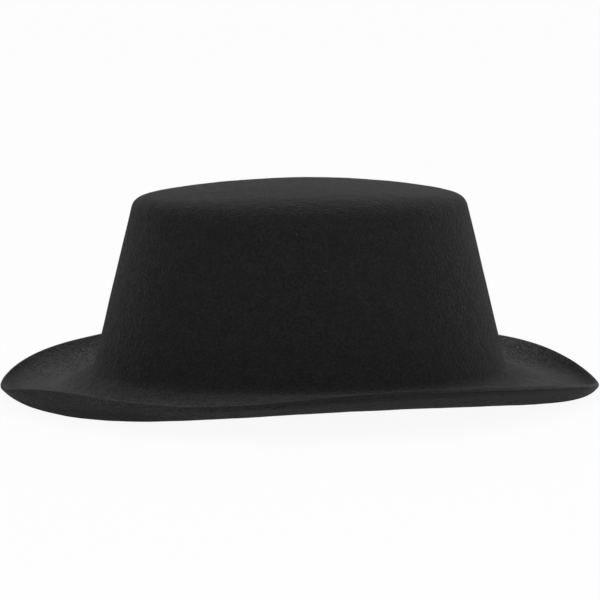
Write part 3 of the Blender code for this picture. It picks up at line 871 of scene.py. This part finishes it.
def woven_finish(name, dark, light, size, depth):
    """Plain-woven cloth: crossed threads on the piece's own map, a little uneven."""
    finish = Finish(name, {"Roughness": 0.85, "Specular IOR Level": 0.25, "Sheen Weight": 0.1})
    place = finish.cloth(*size)
    warp = finish.threads(place, WEAVE_PITCH, "X")
    crossed = finish.math("MULTIPLY", warp, finish.threads(place, WEAVE_PITCH, "Y"))
    slub = finish.spread(finish.noise(size=0.0030, detail=2.0), NOISE_RANGE, (0.7, 1.0))
    share = finish.math("MULTIPLY", finish.spread(crossed, (0.0, 0.6), WHOLE), slub)
    finish.paint(share, dark, light)
    finish.bump(crossed, depth, strength=0.7)
    return finish.material


def ribbon_finish(look, size):
    """Ribbed black ribbon: fine ribs across its length, with a soft gloss."""
    finish = Finish("black_ribbon", {"Specular IOR Level": 0.4, "Sheen Weight": 0.1})
    ribs = finish.threads(finish.cloth(*size), pitch=0.0006, axis="X")
    finish.paint(ribs, look.ribbon_shade, look.ribbon)
    finish.roughen(finish.noise(size=0.0020, detail=2.0), NOISE_RANGE, (0.42, 0.60))
    finish.bump(ribs, depth=0.00010, strength=0.7)
    return finish.material


def thread_finish(look):
    """Twisted sewing thread: slanting strands."""
    finish = Finish("black_thread", {"Roughness": 0.65, "Specular IOR Level": 0.3, "Sheen Weight": 0.1})
    strands = finish.threads(finish.place, pitch=0.0005, axis="DIAGONAL")
    finish.paint(strands, look.thread_shade, look.thread)
    finish.bump(strands, depth=0.00008, strength=0.7)
    return finish.material


def reed_finish(look):
    """Pale plastic reed with faint drawn streaks."""
    finish = Finish("pale_reed", {"Specular IOR Level": 0.45})
    streaks = finish.noise(size=0.0040, detail=3.0)
    finish.paint(streaks, look.reed_streak, look.reed)
    finish.roughen(streaks, NOISE_RANGE, (0.40, 0.55))
    finish.bump(streaks, depth=0.00005, strength=0.4)
    return finish.material


class HAT_OT_lining(bpy.types.Operator):
    """Satin lining: the band round the inside of the crown and the oval under its tip"""

    bl_idname = "hat.lining"
    bl_label = "Lining"

    def execute(self, context):
        felt = context.scene.hat_felt
        inside = context.scene.hat_inside
        look = context.scene.hat_inside_look
        top = leather_top(inside)
        low = top - inside.lining_tuck
        seam = seam_height(felt, inside) + inside.clearance

        def place_band(along, up):
            angle = mix(-BACK, BACK, along)
            height = mix(low, seam, up)
            gathered = smooth_step(top, seam, height)
            opened = smooth_step(top, mix(top, seam, LINING_OPENING), height) * (1.0 - gathered)
            sag = inside.pucker_depth * opened * (0.5 + 0.5 * drift(angle, 4.0, 30.0 * height))
            depth = lining_depth(felt, inside) + pucker(inside, angle) * gathered + sag
            return crown_point(felt, angle, height, depth)

        band = strip_piece("lining_band", LINING_COLUMNS, LINING_ROWS, place_band)
        apply_modifier(band, "SOLIDIFY", thickness=inside.lining, offset=-1.0)
        satin = satin_finish("band_satin", look, (base_girth(felt), seam - low))
        settle(band, "lining_side", satin)

        half_length, half_width = crown_oval(felt, seam)
        inset = (lining_depth(felt, inside) + inside.lining) / math.cos(side_lean(felt))
        oversize = (half_length - inset) / (felt.crown_tip_length / 2.0)
        hang = felt.thickness + inside.tip_sag
        rim_drop = tip_height(felt, 0.0, oversize) - hang - seam - inside.lining
        rows = range(1, LINING_ROWS + 1)
        outwards = [math.sin(0.5 * math.pi * row / LINING_ROWS) for row in rows]
        ovals = []
        for share in outwards:
            height = tip_height(felt, 0.0, oversize * share) - hang - rim_drop * share**SEAM_POWER
            level = base_height(felt) + height
            ovals.append(((half_length - inset) * share, (half_width - inset) * share, level))
        crown = ring_piece("lining_crown", LINING_COLUMNS, ovals)
        for vertex in crown.data.vertices:
            angle = math.atan2(vertex.co.y / half_width, vertex.co.x / half_length)
            gathered = smooth_step(*SEAM_GATHER, outwards[vertex.index // LINING_COLUMNS])
            vertex.co.z -= pucker(inside, angle) * gathered
        close_middle(crown, LINING_COLUMNS, base_height(felt) + tip_height(felt, 0.0, 0.0) - hang)
        face_up(crown)
        apply_modifier(crown, "SOLIDIFY", thickness=inside.lining, offset=-1.0)
        settle(crown, "lining_tip", satin_finish("tip_satin", look))
        return {"FINISHED"}


class HAT_OT_sweatband(bpy.types.Operator):
    """Leather sweatband with its pressed line, the tape folded round its reed, and the reed's finish"""

    bl_idname = "hat.sweatband"
    bl_label = "Sweatband"

    def execute(self, context):
        felt = context.scene.hat_felt
        inside = context.scene.hat_inside
        look = context.scene.hat_inside_look

        def place_leather(along, up):
            angle = band_angle(felt, inside, along)
            height = mix(inside.band_lift, leather_top(inside), up)
            off_line = (leather_top(inside) - height - inside.line_drop) / inside.line_depth
            line = inside.line_depth * math.exp(-0.5 * (off_line / 2.0) ** 2)
            waver = LEATHER_WAVER * drift(angle, 2.0, 40.0 * height)
            return crown_point(felt, angle, height, leather_depth(felt, inside) - line + waver)

        band = strip_piece("sweatband_leather", LEATHER_COLUMNS, LEATHER_ROWS, place_leather)
        apply_modifier(band, "SOLIDIFY", thickness=inside.leather, offset=-1.0)
        round_edges(band, LEATHER_ROUNDING * inside.leather, segments=2)
        settle(band, "sweatband", leather_finish(look))

        middle = inside.band_lift - inside.clearance - inside.reed / 2.0
        depth = leather_depth(felt, inside) + inside.leather / 2.0
        reach = inside.reed / 2.0 + inside.clearance + inside.tape / 2.0
        top = inside.band_lift + inside.tape_height
        lip = inside.band_lift - inside.clearance

        def place_tape(along, up):
            angle = band_angle(felt, inside, along)
            if up < TAPE_BEHIND:
                share = up / TAPE_BEHIND
                behind = leather_depth(felt, inside) - inside.clearance - inside.tape / 2.0
                return crown_point(felt, angle, mix(top, middle, share), mix(behind, depth - reach, share))
            past_reed = up - TAPE_BEHIND - TAPE_FOLD
            fold = min(past_reed / TAPE_FOLD + 1.0, 1.0) * math.pi
            rise = max(0.0, past_reed / (1.0 - TAPE_BEHIND - TAPE_FOLD)) * (lip - middle)
            height = middle - reach * math.sin(fold) + rise
            return crown_point(felt, angle, height, depth - reach * math.cos(fold))

        tape = strip_piece("reed_tape_cloth", LEATHER_COLUMNS, 2 * TAPE_ROWS, place_tape)
        apply_modifier(tape, "SOLIDIFY", thickness=inside.tape, offset=0.0)
        size = base_girth(felt), TAPE_WIDTH
        cloth = woven_finish("black_tape", look.tape_shade, look.tape, size, depth=0.00012)
        settle(tape, "reed_tape", cloth)

        reed = bpy.data.objects["sweatband_reed"]
        reed.data.materials.clear()
        reed.data.materials.append(reed_finish(look))
        return {"FINISHED"}


class HAT_OT_stitches(bpy.types.Operator):
    """Zigzag stitches that hold the leather to its tape: one stitch, copied round the band"""

    bl_idname = "hat.stitches"
    bl_label = "Stitches"

    def execute(self, context):
        felt = context.scene.hat_felt
        inside = context.scene.hat_inside
        count = 2 * round(base_girth(felt) / inside.stitch_length)
        depth = leather_face(felt, inside) + STITCH_OFFSET * inside.thread
        corners = []
        for place in range(count + 1):
            angle = band_angle(felt, inside, place / count)
            swing = inside.stitch_width / 2.0 * (1.0 if place % 2 else -1.0)
            height = inside.band_lift + inside.stitch_lift + swing
            corners.append(Vector(crown_point(felt, angle, height, depth)))

        bpy.ops.object.select_all(action="DESELECT")
        bpy.ops.mesh.primitive_uv_sphere_add(segments=8, ring_count=8, radius=1.0)
        pattern = context.object
        stitches = []
        for start, end in zip(corners, corners[1:]):
            stitch = pattern.copy()
            stitch.data = pattern.data.copy()
            context.collection.objects.link(stitch)
            run = end - start
            middle = (start + end) / 2.0
            inward = Vector((-middle.x, -middle.y, 0.0)).normalized()
            beside = run.normalized().cross(inward)
            for vertex in stitch.data.vertices:
                east, north, along = vertex.co
                bulge = inside.thread * (STITCH_FLATNESS * north + STITCH_HUMP * (1.0 - along**2))
                aside = beside * (0.5 * inside.thread * east)
                vertex.co = middle + 0.5 * along * run + aside + inward * bulge
            stitches.append(stitch)
        bpy.data.objects.remove(pattern, do_unlink=True)
        sewn = join_pieces(stitches, "sweatband_stitches")
        settle(sewn, "sweatband_thread", thread_finish(context.scene.hat_inside_look))
        return {"FINISHED"}


class HAT_OT_bow(bpy.types.Operator):
    """Ribbon bow over the sweatband's join: two full loops, two slant-cut tails and the knot"""

    bl_idname = "hat.bow"
    bl_label = "Bow"

    def execute(self, context):
        felt = context.scene.hat_felt
        inside = context.scene.hat_inside
        trim = context.scene.hat_trim
        height = inside.band_lift + trim.bow_lift
        face = leather_face(felt, inside)
        radius = crown_oval(felt, height)[1] - face / math.cos(side_lean(felt))
        back_layer = inside.clearance + trim.ribbon

        def on_leather(across, up, out):
            return crown_point(felt, BACK - across / radius, height + up, face + out)

        def place_loop(along, up):
            edge = 2.0 * up - 1.0
            reach = 0.5 - 0.5 * math.cos(2.0 * math.pi * along)
            half = mix(trim.bow_waist, trim.bow_height, smooth_step(*LOOP_OPENING, reach)) / 2.0
            across = reach * (trim.bow_width / 2.0 - trim.bow_notch * (1.0 - edge**2) * reach**2)
            gather = LOOP_GATHER * trim.bow_fullness * math.cos(3.0 * math.pi * edge) * (1.0 - reach)
            out = back_layer + trim.bow_fullness * (0.5 - 0.5 * math.cos(math.pi * along)) + gather
            return across, half * edge, out

        def place_tail(along, up):
            edge = 2.0 * up - 1.0
            middle = mix(trim.tail_width / 4.0, trim.tail_spread - trim.tail_width / 2.0, along)
            width = mix(0.5 * trim.tail_width, trim.tail_width, smooth_step(*TAIL_OPENING, along))
            drop = along * (trim.bow_waist / 2.0 + trim.tail_length + trim.tail_slant * (edge - 1.0) / 2.0)
            out = back_layer + TAIL_WAVE * trim.bow_fullness * (1.0 - math.cos(2.0 * math.pi * along))
            return middle + edge * width / 2.0, -drop, out

        def place_knot(along, up):
            edge = 2.0 * up - 1.0
            turned = 2.0 * math.pi * along
            half = trim.knot_height / 2.0 * (1.0 - KNOT_PINCH * (1.0 - edge**2))
            out = back_layer + trim.bow_fullness * (0.5 + KNOT_RISE * math.sin(turned))
            return on_leather(edge * trim.knot_width / 2.0, half * math.cos(turned), out)

        ribbons = []
        for name, place in (("loop", place_loop), ("tail", place_tail)):
            for side, sign in (("right", 1.0), ("left", -1.0)):

                def place_side(along, up):
                    across, rise, out = place(along, up)
                    return on_leather(sign * across, rise, out)

                ribbons.append(strip_piece(f"bow_{name}_{side}", BOW_COLUMNS, BOW_ROWS, place_side))
        ribbons.append(strip_piece("bow_knot", BOW_COLUMNS, BOW_ROWS, place_knot))
        for ribbon in ribbons:
            apply_modifier(ribbon, "SOLIDIFY", thickness=trim.ribbon, offset=0.0)
            apply_modifier(ribbon, "SUBSURF", levels=1, render_levels=1)
        bow = join_pieces(ribbons, "ribbon_bow")
        finish = ribbon_finish(context.scene.hat_inside_look, (trim.bow_width, trim.bow_height))
        settle(bow, "sweatband_bow", finish)
        return {"FINISHED"}


class HAT_OT_label(bpy.types.Operator):
    """Bare cloth label with turned-in ends on the sweatband's side"""

    bl_idname = "hat.label"
    bl_label = "Label"

    def execute(self, context):
        felt = context.scene.hat_felt
        inside = context.scene.hat_inside
        trim = context.scene.hat_trim
        look = context.scene.hat_inside_look
        low = inside.band_lift + trim.label_lift
        half_turn = trim.label_width / felt.crown_base_length

        def place(along, up):
            angle = trim.label_angle + mix(-half_turn, half_turn, along)
            from_end = min(along, 1.0 - along)
            fold = LABEL_RISE * trim.label_thickness * smooth_step(*LABEL_FOLD, from_end)
            curl = trim.label_thickness * (2.0 * abs(along - 0.5)) ** 6 * abs(2.0 * up - 1.0) ** 3
            depth = leather_face(felt, inside) + 0.5 * inside.clearance + fold + curl
            return crown_point(felt, angle, low + up * trim.label_height, depth)

        label = strip_piece("cloth_label", LABEL_COLUMNS, LABEL_ROWS, place)
        apply_modifier(label, "SOLIDIFY", thickness=trim.label_thickness, offset=-1.0)
        apply_modifier(label, "SUBSURF", levels=1, render_levels=1)
        size = trim.label_width, trim.label_height
        cloth = woven_finish("label_cloth", look.label_shade, look.label, size, depth=0.00010)
        settle(label, "size_label", cloth)
        return {"FINISHED"}


def floor_finish(glow):
    """White paper: plain for light, and partly glowing where it is seen, so that a faint shadow stays."""
    made = bpy.data.materials.new("white_floor")
    nodes = Nodes(made)
    nodes.tree.nodes.remove(nodes.tree.nodes["Principled BSDF"])
    paper = nodes.add("ShaderNodeBsdfDiffuse", {"Color": FLOOR_WHITE}).outputs[0]
    white = nodes.add("ShaderNodeEmission", {}).outputs[0]
    share = nodes.math("MULTIPLY", nodes.seen(), glow)
    both = nodes.add("ShaderNodeMixShader", {0: share, 1: paper, 2: white}).outputs[0]
    nodes.feed(nodes.tree.nodes["Material Output"], {"Surface": both})
    return made


def even_light(world, ambient):
    """White where the world is seen, and an even light of its own strength on the hat."""
    nodes = Nodes(world)
    sockets = {"Value": nodes.seen(), "To Min": ambient, "To Max": 1.0}
    strength = nodes.add("ShaderNodeMapRange", sockets).outputs["Result"]
    nodes.feed(nodes.tree.nodes["Background"], {"Color": SKY_WHITE, "Strength": strength})


def aim_at(target, place):
    """The rotation that points a camera or lamp at place towards target."""
    return (target - place).to_track_quat("-Z", "Y").to_euler()


def add_lamp(name, place, size, power):
    """A square soft lamp aimed at the hat."""
    target = Vector((0.0, 0.0, CAD_BOX[1].z / 2.0))
    bpy.ops.object.light_add(type="AREA", location=place, rotation=aim_at(target, Vector(place)))
    lamp = bpy.context.object
    lamp.name = name
    lamp.data.size = size
    lamp.data.energy = power


class HAT_OT_stage(bpy.types.Operator):
    """Floor, soft light, and a camera at the photograph's angle"""

    bl_idname = "hat.stage"
    bl_label = "Stage"

    def execute(self, context):
        stage = context.scene.hat_stage
        target = Vector((0.0, 0.0, stage.aim_height))
        level = math.cos(stage.elevation)
        sideways = math.sin(stage.azimuth) * level
        back = Vector((sideways, -math.cos(stage.azimuth) * level, math.sin(stage.elevation)))
        place = target + back * stage.distance
        bpy.ops.object.camera_add(location=place, rotation=aim_at(target, place))
        camera = context.object
        camera.name = "photo_camera"
        camera.data.lens = stage.lens
        camera.data.sensor_width = SENSOR_MILLIMETRES
        context.scene.camera = camera

        bpy.ops.mesh.primitive_plane_add(size=FLOOR_SIZE)
        floor = context.object
        floor.name = "floor"
        floor.data.materials.append(floor_finish(stage.floor_glow))

        context.scene.world = bpy.data.worlds.new("soft_white")
        even_light(context.scene.world, stage.ambient)
        add_lamp("side_lamp", SIDE_LAMP_PLACE, SIDE_LAMP_SIZE, stage.side_power)
        add_lamp("front_lamp", FRONT_LAMP_PLACE, FRONT_LAMP_SIZE, stage.front_power)
        context.scene.view_settings.view_transform = "Standard"
        return {"FINISHED"}


class VIEW3D_PT_top_hat(bpy.types.Panel):
    """Buttons that make the hat's pieces"""

    bl_label = "Top hat"
    bl_space_type = "VIEW_3D"
    bl_region_type = "UI"
    bl_category = "Top hat"

    def draw(self, context):
        for operator in OPERATORS:
            self.layout.operator(operator.bl_idname)


GROUPS = {
    "hat_felt": FeltSizes,
    "hat_felt_look": FeltLook,
    "hat_inside": InsideSizes,
    "hat_inside_look": InsideLook,
    "hat_trim": TrimSizes,
    "hat_stage": StageSettings,
}
OPERATORS = (
    HAT_OT_felt_shell,
    HAT_OT_lining,
    HAT_OT_sweatband,
    HAT_OT_stitches,
    HAT_OT_bow,
    HAT_OT_label,
    HAT_OT_stage,
)
CLASSES = (*GROUPS.values(), *OPERATORS, VIEW3D_PT_top_hat)


def register():
    """Make the classes and their settings known to Blender."""
    for item in CLASSES:
        bpy.utils.register_class(item)
    for name, group in GROUPS.items():
        setattr(bpy.types.Scene, name, PointerProperty(type=group))


def unregister():
    """Take the settings and the classes away again."""
    for name in GROUPS:
        delattr(bpy.types.Scene, name)
    for item in reversed(CLASSES):
        bpy.utils.unregister_class(item)


def main():
    """Make the hat and its stage."""
    register()
    bpy.ops.hat.felt_shell()
    bpy.ops.hat.lining()
    bpy.ops.hat.sweatband()
    bpy.ops.hat.stitches()
    bpy.ops.hat.bow()
    bpy.ops.hat.label()
    bpy.ops.hat.stage()


if __name__ == "__main__":
    main()
